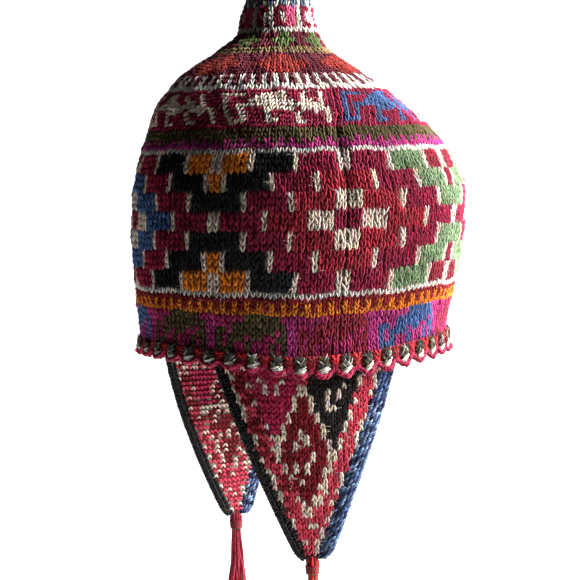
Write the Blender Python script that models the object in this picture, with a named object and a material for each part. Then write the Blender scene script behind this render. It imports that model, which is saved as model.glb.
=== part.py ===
# A knitted chullo hat: a hollow crown that draws in to a peak, a ring of crocheted puffs round
# the rim, and two triangular ear flaps, each with a blue and a black edging and a yarn tassel.
# Metres, +Z up. The wearer faces -Y, and the origin is the middle of the head opening.

import math
from collections import namedtuple

import bmesh
import bpy
from mathutils import Vector

# Crown
HAT_HEIGHT = 0.262          # lower edge at the forehead to the closed tip
RIM_DEPTH = 0.192           # front to back, outside, at the rim
RIM_WIDTH = 0.170           # side to side, outside, at the rim
KNIT_WALL = 0.003           # two-colour knitting with its floats
CROWN_SIDES = 44
CROWN_RINGS = 30

# Each row is one level of the crown. Heights are shares of HAT_HEIGHT, half depths and leans
# (towards the face) are shares of half of RIM_DEPTH. Roundness 0 keeps the rim's oval and 1 is
# a circle.
Section = namedtuple("Section", "height half_depth roundness lean")
SECTIONS = [
    Section(0.000, 0.980, 0.00, -0.031),
    Section(0.070, 0.987, 0.00, -0.027),
    Section(0.161, 1.031, 0.04, -0.010),
    Section(0.297, 1.067, 0.13, 0.019),
    Section(0.351, 1.066, 0.20, 0.026),
    Section(0.433, 1.011, 0.32, 0.007),
    Section(0.527, 0.870, 0.50, -0.045),
    Section(0.595, 0.705, 0.74, -0.114),
    Section(0.649, 0.536, 0.92, -0.150),
    Section(0.698, 0.338, 1.00, -0.138),
    Section(0.737, 0.249, 1.00, -0.100),
    Section(0.771, 0.229, 1.00, -0.102),
    Section(0.821, 0.197, 1.00, -0.082),
    Section(0.897, 0.168, 1.00, -0.075),
    Section(0.950, 0.138, 1.00, -0.072),
    Section(0.984, 0.092, 1.00, -0.072),
    Section(0.997, 0.040, 1.00, -0.072),
    Section(1.000, 0.000, 1.00, -0.072),
]

# Soft folds and dents of the cloth. Depths are shares of half of RIM_DEPTH, heights and height
# spreads are shares of HAT_HEIGHT, angles are degrees from the face towards the right ear.
Fold = namedtuple("Fold", "height angle depth height_spread angle_spread")
FOLDS = [
    Fold(0.612, 0.0, 0.026, 0.018, 38.0),      # roll above the forehead
    Fold(0.582, 0.0, -0.015, 0.015, 45.0),     # crease under it
    Fold(0.470, 94.0, -0.020, 0.012, 7.0),     # pucker where the rounds of knitting start
    Fold(0.565, 180.0, 0.015, 0.040, 45.0),    # fuller shoulder at the back
    Fold(0.712, 20.0, 0.016, 0.012, 50.0),     # rolled row at the foot of the peak
]

# The lower edge hangs lower over each ear
EAR_DIP = 0.010
EAR_DIP_HEIGHT = 0.090      # level where the dip has died out
EAR_ANGLE = 98.0            # degrees from the face
EAR_DIP_SPREAD = 42.0       # degrees

# Rim edging
RIM_EDGING_HEIGHT = 0.0120
RIM_EDGING_INNER = 0.0015   # how far it reaches in behind the crown's outside
RIM_EDGING_OUTER = 0.0022   # how far it stands out between puffs
PUFF_COUNT = 42
PUFF_BULGE = 0.0022
PUFF_SCALLOP = 0.0030       # how far each puff hangs below the notch beside it
NAPE_RISE = 0.0030          # how much narrower the edging is round the nape
NAPE_START = 102.0          # degrees from the face
NAPE_TURN = 26.0            # degrees over which it narrows
STEPS_PER_PUFF = 4

# The edging's outline: reach is a share of how far it stands out, or of RIM_EDGING_INNER where it
# is negative, and rise is a share of its height.
Corner = namedtuple("Corner", "reach rise")
RIM_EDGING_OUTLINE = [
    Corner(-1.00, 1.00),
    Corner(0.40, 1.00),
    Corner(1.00, 0.72),
    Corner(1.00, 0.25),
    Corner(0.35, 0.00),
    Corner(-1.00, 0.12),
]

# Ear flaps
FLAP_ANGLE = 104.5          # degrees from the face to the middle of a flap
FLAP_LENGTH = 0.1200        # from the foot of the crown to the tip
FLAP_TOP_WIDTH = 0.1040     # knitted field only, at the foot of the crown
FLAP_TIP_WIDTH = 0.0040
FLAP_WALL = 0.0034
FLAP_LEAN = 0.0070          # how far the tip hangs in towards the neck
FLAP_SWEEP = 0.0035         # how far the tip hangs forwards
FLAP_FLATTEN = 0.65         # how much of the head's curve is gone at the tip
FLAP_ROWS = 13
FLAP_COLUMNS = 8
FRONT_EDGING_TOP = 0.0110   # widths of the blue edging
FRONT_EDGING_TIP = 0.0085
BACK_EDGING_TOP = 0.0056    # widths of the black edging
BACK_EDGING_TIP = 0.0060
FLAP_EDGING_WALL = 0.0052
FLAP_EDGING_ROWS = 24
FLAP_EDGING_SIDES = 8

# Tassels
TASSEL_HEAD_WIDTH = 0.0105
TASSEL_HEAD_HEIGHT = 0.0080
TASSEL_LENGTH = 0.0520
TASSEL_LOCKS = 8
LOCK_SEGMENTS = 6
LOCK_SPREAD = 0.0035        # how far a lock's end stands out from the head
LOCK_UNEVEN = 0.07          # share of a lock's length between one lock's end and the next
LOCK_TAPER = 0.6            # each of the last rings of a lock against the one above it
LOCK_TAPER_FROM = 0.8       # share of a lock's length where it starts to taper
TASSEL_CORE = 0.38          # half width of the middle lock against the head's

# The head's outline, from its top down, as shares of its half width and its height
Waist = namedtuple("Waist", "reach fall")
TASSEL_HEAD = [
    Waist(0.55, 0.00),
    Waist(0.95, 0.22),
    Waist(1.00, 0.50),
    Waist(0.82, 0.78),      # where the binding pulls in
    Waist(0.95, 1.00),
]

GAP = 0.0003                # clearance between pieces that touch in the real hat
SAMPLES = 720               # short steps in which a curve's length is measured

YARNS = {
    "crimson": (0.30, 0.02, 0.07),
    "magenta": (0.36, 0.03, 0.22),
    "red": (0.33, 0.03, 0.03),
    "blue": (0.05, 0.10, 0.24),
    "black": (0.012, 0.010, 0.012),
    "grey": (0.20, 0.19, 0.15),
}


def clear_scene():
    for item in list(bpy.data.objects):
        bpy.data.objects.remove(item, do_unlink=True)


def yarn(name):
    material = bpy.data.materials.new(name + "_yarn")
    material.use_nodes = True
    shader = material.node_tree.nodes["Principled BSDF"]
    shader.inputs["Base Color"].default_value = (*YARNS[name], 1.0)
    shader.inputs["Roughness"].default_value = 0.9
    shader.inputs["Metallic"].default_value = 0.0
    return material


def smooth_curve(knots, values):
    """A curve through the values that never overshoots between two of them."""
    count = len(knots)
    steps = [knots[i + 1] - knots[i] for i in range(count - 1)]
    slopes = [(values[i + 1] - values[i]) / steps[i] for i in range(count - 1)]
    tangents = [slopes[0]]
    for i in range(1, count - 1):
        before, after = slopes[i - 1], slopes[i]
        if before * after <= 0:
            tangents.append(0.0)
            continue
        first = 2 * steps[i] + steps[i - 1]
        second = steps[i] + 2 * steps[i - 1]
        tangents.append((first + second) / (first / before + second / after))
    tangents.append(slopes[-1])

    def value(at):
        at = min(max(at, knots[0]), knots[-1])
        i = 0
        while i < count - 2 and at > knots[i + 1]:
            i += 1
        share = (at - knots[i]) / steps[i]
        rest = 1 - share
        return (values[i] * (1 + 2 * share) * rest ** 2
                + tangents[i] * steps[i] * share * rest ** 2
                + values[i + 1] * (3 - 2 * share) * share ** 2
                - tangents[i + 1] * steps[i] * share ** 2 * rest)

    return value


def crown_curve(column):
    return smooth_curve([row.height for row in SECTIONS], [getattr(row, column) for row in SECTIONS])


half_depth_at = crown_curve("half_depth")
roundness_at = crown_curve("roundness")
lean_at = crown_curve("lean")


def turn_between(angle, other):
    """Degrees from one angle to another, the short way."""
    return (angle - other + 180.0) % 360.0 - 180.0


def fold_depth(angle, height):
    """How far the folds push the wall out, at an angle in degrees and a share of the height."""
    push = 0.0
    for fold in FOLDS:
        rise = (height - fold.height) / fold.height_spread
        turn = turn_between(angle, fold.angle) / fold.angle_spread
        push += fold.depth * math.exp(-rise ** 2 - turn ** 2)
    return push * RIM_DEPTH / 2


def ear_dip(angle, level):
    """How far a level of the crown hangs down over the ears."""
    fade = max(0.0, 1.0 - level / EAR_DIP_HEIGHT) ** 2
    return EAR_DIP * fade * math.exp(-((abs(turn_between(angle, 0.0)) - EAR_ANGLE) / EAR_DIP_SPREAD) ** 2)


def wall_point(angle, level, out=0.0):
    """A point of the crown's outside, or as far out from it as asked.

    The angle is in degrees from the face towards the right ear, the level is a height in metres.
    """
    height = level / HAT_HEIGHT
    half_depth = half_depth_at(height) * RIM_DEPTH / 2
    oval = RIM_WIDTH / RIM_DEPTH
    half_width = half_depth * (oval + (1.0 - oval) * roundness_at(height))
    turn = math.radians(angle)
    across = Vector((-math.sin(turn) * half_width, -math.cos(turn) * half_depth, 0.0))
    push = Vector((-math.sin(turn) * half_depth, -math.cos(turn) * half_width, 0.0))
    if push.length > 0:
        push.normalize()
    thinning = min(1.0, half_depth / (RIM_DEPTH / 2))
    point = across + push * (out + fold_depth(angle, height) * thinning)
    point.y -= lean_at(height) * RIM_DEPTH / 2
    point.z = level - ear_dip(angle, level)
    return point


def even_levels(start, count):
    """Levels from the start to the tip, evenly spaced along the crown's side."""
    samples = [start + (HAT_HEIGHT - start) * i / SAMPLES for i in range(SAMPLES + 1)]
    walked = [0.0]
    for low, high in zip(samples, samples[1:]):
        walked.append(walked[-1] + (wall_point(180, high) - wall_point(180, low)).length)
    levels = []
    at = 0
    for step in range(count):
        goal = walked[-1] * step / (count - 1)
        while at < len(walked) - 2 and walked[at + 1] < goal:
            at += 1
        share = (goal - walked[at]) / (walked[at + 1] - walked[at])
        levels.append(samples[at] + (samples[at + 1] - samples[at]) * share)
    return levels


def even_angles(count, level):
    """Angles in degrees that share the rim's length evenly, from the face all the way round."""
    points = [wall_point(360.0 * i / SAMPLES, level) for i in range(SAMPLES + 1)]
    walked = [0.0]
    for here, there in zip(points, points[1:]):
        walked.append(walked[-1] + (there - here).length)
    angles = []
    at = 0
    for step in range(count):
        goal = walked[-1] * step / count
        while walked[at + 1] < goal:
            at += 1
        share = (goal - walked[at]) / (walked[at + 1] - walked[at])
        angles.append(360.0 * (at + share) / SAMPLES)
    return angles


def skin(mesh, rings, loop=False):
    """Skin a row of rings of points with quads, joined end to end where it loops."""
    loops = [[mesh.verts.new(point) for point in ring] for ring in rings]
    pairs = list(zip(loops, loops[1:]))
    if loop:
        pairs.append((loops[-1], loops[0]))
    for here, there in pairs:
        for i in range(len(here)):
            j = (i + 1) % len(here)
            mesh.faces.new((here[i], here[j], there[j], there[i]))
    return loops


def add_object(name, mesh, material):
    bmesh.ops.recalc_face_normals(mesh, faces=mesh.faces)
    data = bpy.data.meshes.new(name)
    mesh.to_mesh(data)
    mesh.free()
    data.materials.append(material)
    item = bpy.data.objects.new(name, data)
    bpy.context.scene.collection.objects.link(item)
    data.shade_smooth()
    return item


def make_crown():
    mesh = bmesh.new()
    angles = [360.0 * i / CROWN_SIDES for i in range(CROWN_SIDES)]
    levels = even_levels(RIM_EDGING_HEIGHT, CROWN_RINGS)
    loops = skin(mesh, [[wall_point(angle, level) for angle in angles] for level in levels[:-1]])
    tip = mesh.verts.new(wall_point(0.0, HAT_HEIGHT))
    for i, vertex in enumerate(loops[-1]):
        mesh.faces.new((vertex, loops[-1][(i + 1) % CROWN_SIDES], tip))
    crown = add_object("crown", mesh, yarn("crimson"))
    wall = crown.modifiers.new("knit wall", "SOLIDIFY")
    wall.thickness = KNIT_WALL
    wall.offset = -1.0
    wall.use_even_offset = True
    return crown


def nape_rise(angle):
    share = (abs(turn_between(angle, 0.0)) - NAPE_START) / NAPE_TURN
    share = max(0.0, min(1.0, share))
    return NAPE_RISE * share * share * (3.0 - 2.0 * share)


def rim_edging_section(angle, puff):
    """The edging's outline at an angle, from a notch (puff 0) to the middle of a puff (puff 1)."""
    height = RIM_EDGING_HEIGHT - GAP
    foot = PUFF_SCALLOP * (1.0 - puff) + nape_rise(angle)
    out = RIM_EDGING_OUTER + PUFF_BULGE * puff
    foot_of_crown = wall_point(angle, RIM_EDGING_HEIGHT).z - RIM_EDGING_HEIGHT
    points = []
    for corner in RIM_EDGING_OUTLINE:
        reach = out * corner.reach if corner.reach > 0 else RIM_EDGING_INNER * corner.reach
        point = wall_point(angle, RIM_EDGING_HEIGHT, reach)
        point.z = foot_of_crown + foot + (height - foot) * corner.rise
        points.append(point)
    return points


def make_rim_edging():
    mesh = bmesh.new()
    steps = PUFF_COUNT * STEPS_PER_PUFF
    rings = []
    for step, angle in enumerate(even_angles(steps, RIM_EDGING_HEIGHT)):
        puff = abs(math.sin(math.pi * step / STEPS_PER_PUFF)) ** 0.7
        rings.append(rim_edging_section(angle, puff))
    skin(mesh, rings, loop=True)
    return add_object("rim_edging", mesh, yarn("grey"))


def flap_point(side, along, drop, out):
    """A point of an ear flap's sheet.

    side is 1 for the right flap and -1 for the left, along is metres towards the face from the
    flap's middle line, drop is metres down from the foot of the crown, and out is metres out from
    the middle of the sheet's thickness.
    """
    share = drop / FLAP_LENGTH
    along = along + FLAP_SWEEP * share ** 2
    level = RIM_EDGING_HEIGHT
    inset = -(RIM_EDGING_INNER + GAP + FLAP_EDGING_WALL / 2)
    middle = wall_point(FLAP_ANGLE, level, inset)
    beside = wall_point(FLAP_ANGLE - 1.0, level, inset)
    per_degree = (Vector(beside.xy) - Vector(middle.xy)).length
    angle = FLAP_ANGLE - along / per_degree
    curved = wall_point(angle, level, inset)
    normal = (wall_point(angle, level, 1.0) - wall_point(angle, level, 0.0)).normalized()
    flat_normal = (wall_point(FLAP_ANGLE, level, 1.0) - wall_point(FLAP_ANGLE, level, 0.0)).normalized()
    tangent = (Vector((beside.x, beside.y, 0.0)) - Vector((middle.x, middle.y, 0.0))).normalized()
    flat = middle + tangent * along
    relax = FLAP_FLATTEN * max(0.0, drop - RIM_EDGING_HEIGHT) / (FLAP_LENGTH - RIM_EDGING_HEIGHT)
    point = curved.lerp(flat, relax)
    out_way = normal.lerp(flat_normal, relax).normalized()
    point += out_way * out - flat_normal * FLAP_LEAN * share ** 1.5
    point.z = curved.z + (middle.z - curved.z) * share - GAP - drop
    if side < 0:
        point.x = -point.x
    return point


def field_half_width(share):
    return (FLAP_TOP_WIDTH + (FLAP_TIP_WIDTH - FLAP_TOP_WIDTH) * share) / 2


def flap_ring(side, share, low, high, outline):
    """One ring round a strip of a flap between two places along it, at a share of its length."""
    middle = (low + high) / 2
    half = (high - low) / 2
    return [flap_point(side, middle + half * across, share * FLAP_LENGTH, out) for across, out in outline]


def close_strip(mesh, rings):
    loops = skin(mesh, rings)
    mesh.faces.new(loops[0])
    mesh.faces.new(list(reversed(loops[-1])))


def make_flap(side, name):
    mesh = bmesh.new()
    columns = [2.0 * i / FLAP_COLUMNS - 1.0 for i in range(FLAP_COLUMNS + 1)]
    outline = [(across, FLAP_WALL / 2) for across in columns]
    outline += [(across, -FLAP_WALL / 2) for across in reversed(columns)]
    rings = []
    for row in range(FLAP_ROWS):
        share = row / (FLAP_ROWS - 1)
        half = field_half_width(share)
        rings.append(flap_ring(side, share, -half, half, outline))
    close_strip(mesh, rings)
    return add_object(name, mesh, yarn("red"))


def make_flap_edging(side, towards_face, top_width, tip_width, name, colour):
    """A crocheted edging down one slanted side of a flap, on the face side or the nape side."""
    mesh = bmesh.new()
    half_wall = FLAP_EDGING_WALL / 2
    outline = [(math.cos(math.tau * i / FLAP_EDGING_SIDES),
                math.sin(math.tau * i / FLAP_EDGING_SIDES) * half_wall)
               for i in range(FLAP_EDGING_SIDES)]
    rings = []
    for row in range(FLAP_EDGING_ROWS):
        share = row / (FLAP_EDGING_ROWS - 1)
        inner = field_half_width(share) + GAP
        outer = inner + top_width + (tip_width - top_width) * share
        rings.append(flap_ring(side, share, towards_face * inner, towards_face * outer, outline))
    close_strip(mesh, rings)
    return add_object(name, mesh, yarn(colour))


def make_tassel(side, name):
    """A bound head with locks of yarn drawn down from it, all one body."""
    mesh = bmesh.new()
    top = flap_point(side, 0.0, FLAP_LENGTH, 0.0) - Vector((0.0, 0.0, GAP))
    foot_middle = top - Vector((0.0, 0.0, TASSEL_HEAD_HEIGHT))
    turns = [math.tau * i / TASSEL_LOCKS for i in range(TASSEL_LOCKS)]
    rings = []
    for waist in TASSEL_HEAD:
        reach = waist.reach * TASSEL_HEAD_WIDTH / 2
        rings.append([top + Vector((math.cos(turn) * reach, math.sin(turn) * reach,
                                    -TASSEL_HEAD_HEIGHT * waist.fall)) for turn in turns])
    loops = skin(mesh, rings)
    mesh.faces.new(loops[0])
    foot = loops[-1]
    core = [mesh.verts.new(foot_middle.lerp(point, TASSEL_CORE)) for point in rings[-1]]
    locks = [mesh.faces.new((foot[i], foot[(i + 1) % TASSEL_LOCKS],
                             core[(i + 1) % TASSEL_LOCKS], core[i])) for i in range(TASSEL_LOCKS)]
    locks.append(mesh.faces.new(core))
    mesh.normal_update()
    bmesh.ops.inset_individual(mesh, faces=locks, thickness=GAP / 2)
    for number, lock in enumerate(locks):
        draw_lock(mesh, lock, number, foot_middle)
    return add_object(name, mesh, yarn("red"))


def draw_lock(mesh, face, number, middle):
    """Draw one face of the head's foot down into a lock that stands out a little and tapers."""
    away = face.calc_center_median() - middle
    away.z = 0.0
    if away.length > GAP:
        away.normalize()
    length = (TASSEL_LENGTH - TASSEL_HEAD_HEIGHT) * (1.0 - LOCK_UNEVEN * ((number * 3) % 4))
    stood_out = 0.0
    for segment in range(1, LOCK_SEGMENTS + 1):
        share = segment / LOCK_SEGMENTS
        stand_out = LOCK_SPREAD * math.sin(math.pi / 2 * share) ** 2
        face = bmesh.ops.extrude_discrete_faces(mesh, faces=[face])["faces"][0]
        step = away * (stand_out - stood_out) - Vector((0.0, 0.0, length / LOCK_SEGMENTS))
        bmesh.ops.translate(mesh, verts=face.verts, vec=step)
        stood_out = stand_out
        if share > LOCK_TAPER_FROM:
            centre = face.calc_center_median()
            for vertex in face.verts:
                vertex.co = centre.lerp(vertex.co, LOCK_TAPER)


def main():
    clear_scene()
    make_crown()
    make_rim_edging()
    for side, word in ((1, "right"), (-1, "left")):
        make_flap(side, "ear_flap_" + word)
        make_flap_edging(side, 1, FRONT_EDGING_TOP, FRONT_EDGING_TIP,
                         "flap_front_edging_" + word, "blue")
        make_flap_edging(side, -1, BACK_EDGING_TOP, BACK_EDGING_TIP,
                         "flap_back_edging_" + word, "black")
        make_tassel(side, "tassel_" + word)


main()
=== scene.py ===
import math

import bmesh
import bpy
import numpy as np
from mathutils import Matrix, Vector


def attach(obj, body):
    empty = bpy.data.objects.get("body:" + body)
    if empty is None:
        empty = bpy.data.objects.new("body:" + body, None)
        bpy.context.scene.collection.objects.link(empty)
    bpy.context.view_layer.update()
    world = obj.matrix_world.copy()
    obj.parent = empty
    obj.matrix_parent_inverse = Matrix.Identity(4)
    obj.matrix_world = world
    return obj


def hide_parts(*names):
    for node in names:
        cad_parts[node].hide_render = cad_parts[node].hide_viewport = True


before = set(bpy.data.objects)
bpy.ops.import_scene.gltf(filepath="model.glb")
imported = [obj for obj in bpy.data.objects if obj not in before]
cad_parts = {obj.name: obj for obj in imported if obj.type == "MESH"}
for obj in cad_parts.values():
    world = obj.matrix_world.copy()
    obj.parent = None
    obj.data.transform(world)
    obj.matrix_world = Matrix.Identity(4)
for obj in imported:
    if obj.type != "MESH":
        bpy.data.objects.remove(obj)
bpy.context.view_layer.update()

rng = np.random.default_rng(42)
print("frame loaded")

# The hat's shape, as its solids have it

crown = {
    "height": 0.262,          # lower edge at the forehead to the closed tip
    "depth": 0.192,           # front to back at the rim
    "width": 0.170,           # side to side at the rim
    # where the rounds of knitting start, in degrees from the face, at these levels
    "startLevels": [0.0, 0.035, 0.094, 0.105, 0.116, 0.122, 0.130, 0.136, 0.147, 0.158, 0.180, 0.200],
    "startAngles": [92.0, 92.6, 92.7, 92.6, 92.4, 91.5, 90.7, 90.0, 85.1, 79.0, 76.0, 80.0],
    # the knitting is stretched beside that line, which itself stands a little open:
    # shares of a round, and how far each is shifted
    "stretchFrom": [-0.5, -0.25, -0.18, -0.125, -0.075, -0.035, -0.0005,
                    0.0005, 0.035, 0.075, 0.105, 0.18, 0.25, 0.5],
    "stretchBy": [0.0, -0.0045, -0.0051, -0.0038, -0.0007, -0.0021, -0.0008,
                  0.0008, 0.0023, 0.0118, 0.0139, 0.0120, 0.0080, 0.0],
    "puckers": 0.00045,       # how unevenly the knitting lies
    "wander": 0.0007,         # and how far its rows and columns stray
    "seam": 0.0020,           # depth of the crease where the rounds of knitting start
    "seamWide": 0.0030,
    "seamLevels": (0.070, 0.145),
    # height, half depth, roundness and lean, as shares of the height or of half the depth
    "sections": [
        (0.000, 0.980, 0.00, -0.031), (0.070, 0.987, 0.00, -0.027),
        (0.161, 1.031, 0.04, -0.010), (0.297, 1.067, 0.13, 0.019),
        (0.351, 1.066, 0.20, 0.026), (0.433, 1.011, 0.32, 0.007),
        (0.527, 0.870, 0.50, -0.045), (0.595, 0.705, 0.74, -0.114),
        (0.649, 0.536, 0.92, -0.150), (0.698, 0.338, 1.00, -0.138),
        (0.737, 0.249, 1.00, -0.100), (0.771, 0.229, 1.00, -0.102),
        (0.821, 0.197, 1.00, -0.082), (0.897, 0.168, 1.00, -0.075),
        (0.950, 0.138, 1.00, -0.072), (0.984, 0.092, 1.00, -0.072),
        (0.997, 0.040, 1.00, -0.072), (1.000, 0.000, 1.00, -0.072),
    ],
    # height, angle from the face, depth, height spread, angle spread
    "folds": [
        (0.612, 0.0, 0.026, 0.018, 38.0), (0.582, 0.0, -0.015, 0.015, 45.0),
        (0.470, 94.0, -0.020, 0.012, 7.0), (0.565, 180.0, 0.015, 0.040, 45.0),
        (0.712, 20.0, 0.016, 0.012, 50.0),
    ],
    "earDip": 0.010,
    "earDipHeight": 0.090,
    "earAngle": 98.0,
    "earDipSpread": 42.0,
}

rim = {
    "height": 0.0120,
    "inner": 0.0015,
    "puffs": 42,
    "napeRise": 0.0030,       # the edging is this much narrower round the nape
    "napeStart": 102.0,
    "napeTurn": 26.0,
}

flap = {
    "angle": 104.5,
    "length": 0.1200,
    "topWidth": 0.1040,
    "tipWidth": 0.0040,
    "lean": 0.0070,
    "sweep": 0.0035,
    "flatten": 0.65,
    "edgingWall": 0.0052,
    "gap": 0.0003,
}


def easyCurve(knots, values):
    # through all the values, and never past two neighbours
    knots, values = np.asarray(knots), np.asarray(values)
    steps = np.diff(knots)
    slopes = np.diff(values) / steps
    tangents = np.zeros(len(knots))
    tangents[0], tangents[-1] = slopes[0], slopes[-1]
    for i in range(1, len(knots) - 1):
        if slopes[i - 1] * slopes[i] > 0:
            first = 2 * steps[i] + steps[i - 1]
            second = steps[i] + 2 * steps[i - 1]
            tangents[i] = (first + second) / (first / slopes[i - 1] + second / slopes[i])

    def value(at):
        at = np.clip(at, knots[0], knots[-1])
        i = np.clip(np.searchsorted(knots, at, side="right") - 1, 0, len(steps) - 1)
        share = (at - knots[i]) / steps[i]
        rest = 1 - share
        return (values[i] * (1 + 2 * share) * rest ** 2
                + tangents[i] * steps[i] * share * rest ** 2
                + values[i + 1] * (3 - 2 * share) * share ** 2
                - tangents[i + 1] * steps[i] * share ** 2 * rest)

    return value


sectionRows = np.array(crown["sections"])
halfDepthAt = easyCurve(sectionRows[:, 0], sectionRows[:, 1])
roundnessAt = easyCurve(sectionRows[:, 0], sectionRows[:, 2])
leanAt = easyCurve(sectionRows[:, 0], sectionRows[:, 3])


def turnBetween(angle, other):
    return (angle - other + 180.0) % 360.0 - 180.0


def earDipAt(angle, level):
    fade = np.maximum(0.0, 1.0 - level / crown["earDipHeight"]) ** 2
    turn = (np.abs(turnBetween(angle, 0.0)) - crown["earAngle"]) / crown["earDipSpread"]
    return crown["earDip"] * fade * np.exp(-turn ** 2)


def wallPoint(angle, level, out=0.0):
    # a point of the crown's outside, angle in degrees from the face towards the right ear
    angle, level, out = np.broadcast_arrays(angle, level, out)
    share = level / crown["height"]
    halfDepth = halfDepthAt(share) * crown["depth"] / 2
    oval = crown["width"] / crown["depth"]
    halfWidth = halfDepth * (oval + (1.0 - oval) * roundnessAt(share))
    push = np.zeros(angle.shape)
    for height, foldAngle, depth, heightSpread, angleSpread in crown["folds"]:
        rise = (share - height) / heightSpread
        turn = turnBetween(angle, foldAngle) / angleSpread
        push = push + depth * np.exp(-rise ** 2 - turn ** 2) * crown["depth"] / 2
    push = push * np.minimum(1.0, halfDepth / (crown["depth"] / 2)) + out
    sine, cosine = np.sin(np.radians(angle)), np.cos(np.radians(angle))
    reach = np.hypot(sine * halfDepth, cosine * halfWidth) + 1e-12
    x = -sine * halfWidth - push * sine * halfDepth / reach
    y = -cosine * halfDepth - push * cosine * halfWidth / reach - leanAt(share) * crown["depth"] / 2
    return np.stack([x, y, level - earDipAt(angle, level)], axis=-1)


def unit(vectors):
    return vectors / (np.linalg.norm(vectors, axis=-1, keepdims=True) + 1e-12)


def walkedAlong(points):
    # how far a line has run at each of its points
    return np.concatenate([[0.0], np.cumsum(np.linalg.norm(np.diff(points, axis=0), axis=1))])


def signedShare(share):
    # the same share of a round, between -0.5 and 0.5
    return (share + 0.5) % 1.0 - 0.5


roundAngles = np.linspace(0.0, 360.0, 1441)
roundWalk = walkedAlong(wallPoint(roundAngles, rim["height"]))
roundShares = roundWalk / roundWalk[-1]
sideLevels = np.linspace(rim["height"] - 0.003, crown["height"], 1201)
sideWalk = walkedAlong(wallPoint(180.0, sideLevels))
sideWalk = sideWalk - np.interp(rim["height"], sideLevels, sideWalk)


def angleOfTurn(turn, level):
    # turn 0 is the start of the rounds, and it grows to the right as seen from outside
    turn = turn + np.interp(signedShare(turn), crown["stretchFrom"], crown["stretchBy"])
    startAngle = np.interp(level, crown["startLevels"], crown["startAngles"])
    start = np.interp(startAngle, roundAngles, roundShares)
    return np.interp((start - turn) % 1.0, roundShares, roundAngles)


def crownSpot(turn, walk, out):
    # turn is a share of a round, walk is metres up the side from the rim edging
    turn, walk, out = np.broadcast_arrays(turn, walk, out)
    # the places stray and the surface puckers by waves that never line up
    turn = turn + crown["wander"] * (np.sin(turn * 88 + walk * 61) * np.sin(walk * 113 + 0.7)
                                     + 0.5 * np.sin(turn * 214 - walk * 170))
    walk = walk + crown["wander"] * 0.5 * (np.sin(turn * 69 + 1.0) + np.sin(turn * 151 + walk * 90))
    level = np.interp(walk, sideWalk, sideLevels)
    angle = angleOfTurn(turn, level)
    here = wallPoint(angle, level)
    across = wallPoint(angle - 0.4, level) - here
    above = wallPoint(angle, np.minimum(level + 0.0004, crown["height"])) - here
    below = here - wallPoint(angle, level - 0.0004)
    normal = unit(np.cross(across, above + below))
    pucker = (np.sin(np.radians(angle) * 11 + level * 160) * np.sin(level * 310 + 1.3)
              + 0.6 * np.sin(np.radians(angle) * 23 - level * 260)
              + 0.5 * np.sin(np.radians(angle) * 5 + level * 90 + 2.0))
    fade = np.clip(halfDepthAt(level / crown["height"]) * 2, 0.0, 1.0)
    low, high = crown["seamLevels"]
    fromSeam = signedShare(turn) * roundWalk[-1] / crown["seamWide"]
    reach = np.clip((level - low) / 0.03, 0.0, 1.0) * np.clip((high - level) / 0.012, 0.0, 1.0)
    out = out - crown["seam"] * np.exp(-fromSeam ** 2) * reach
    return here + normal * (out + crown["puckers"] * pucker * fade)[..., None], normal


# Yarn colours, as they look in even light

yarnLook = {
    "crimson": (130, 9, 50), "wine": (88, 8, 28), "maroon": (92, 14, 34), "rose": (170, 28, 70),
    "red": (148, 26, 46), "brightRed": (200, 34, 34), "rust": (136, 36, 28), "darkRed": (124, 22, 42),
    "cream": (210, 192, 176), "white": (230, 222, 212), "black": (5, 5, 8),
    "orange": (212, 118, 18), "sage": (112, 132, 98), "olive": (78, 68, 36), "magenta": (158, 42, 108),
    "plum": (150, 30, 84), "denim": (62, 88, 134), "navy": (24, 36, 70), "sky": (122, 150, 190),
    "beige": (122, 102, 68), "grey": (104, 106, 92), "brown": (24, 14, 13), "coral": (192, 56, 76),
    "slate": (88, 104, 128), "green": (84, 100, 52), "pink": (204, 84, 120), "flapRed": (116, 3, 20),
    "lilac": (150, 146, 184), "charcoal": (52, 54, 50), "silver": (168, 168, 158),
    "orchid": (160, 50, 112),
}


def linear(name):
    channels = np.array(yarnLook[name]) / 255.0
    return np.where(channels <= 0.04045, channels / 12.92, ((channels + 0.055) / 1.055) ** 2.4)


def yarnColours(names):
    return np.array([linear(name) for name in names])


# Wool, the same fibre effect for each yarn


def feed(tree, node, inputs):
    # each socket gets a plain value, or a link from the output that is given
    for socket, value in inputs.items():
        if isinstance(value, bpy.types.NodeSocket):
            tree.links.new(value, node.inputs[socket])
        else:
            node.inputs[socket].default_value = value


def addNode(tree, kind, x, y, inputs=None, **settings):
    node = tree.nodes.new(kind)
    node.location = (x, y)
    for key, value in settings.items():
        setattr(node, key, value)
    feed(tree, node, inputs or {})
    return node


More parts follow.
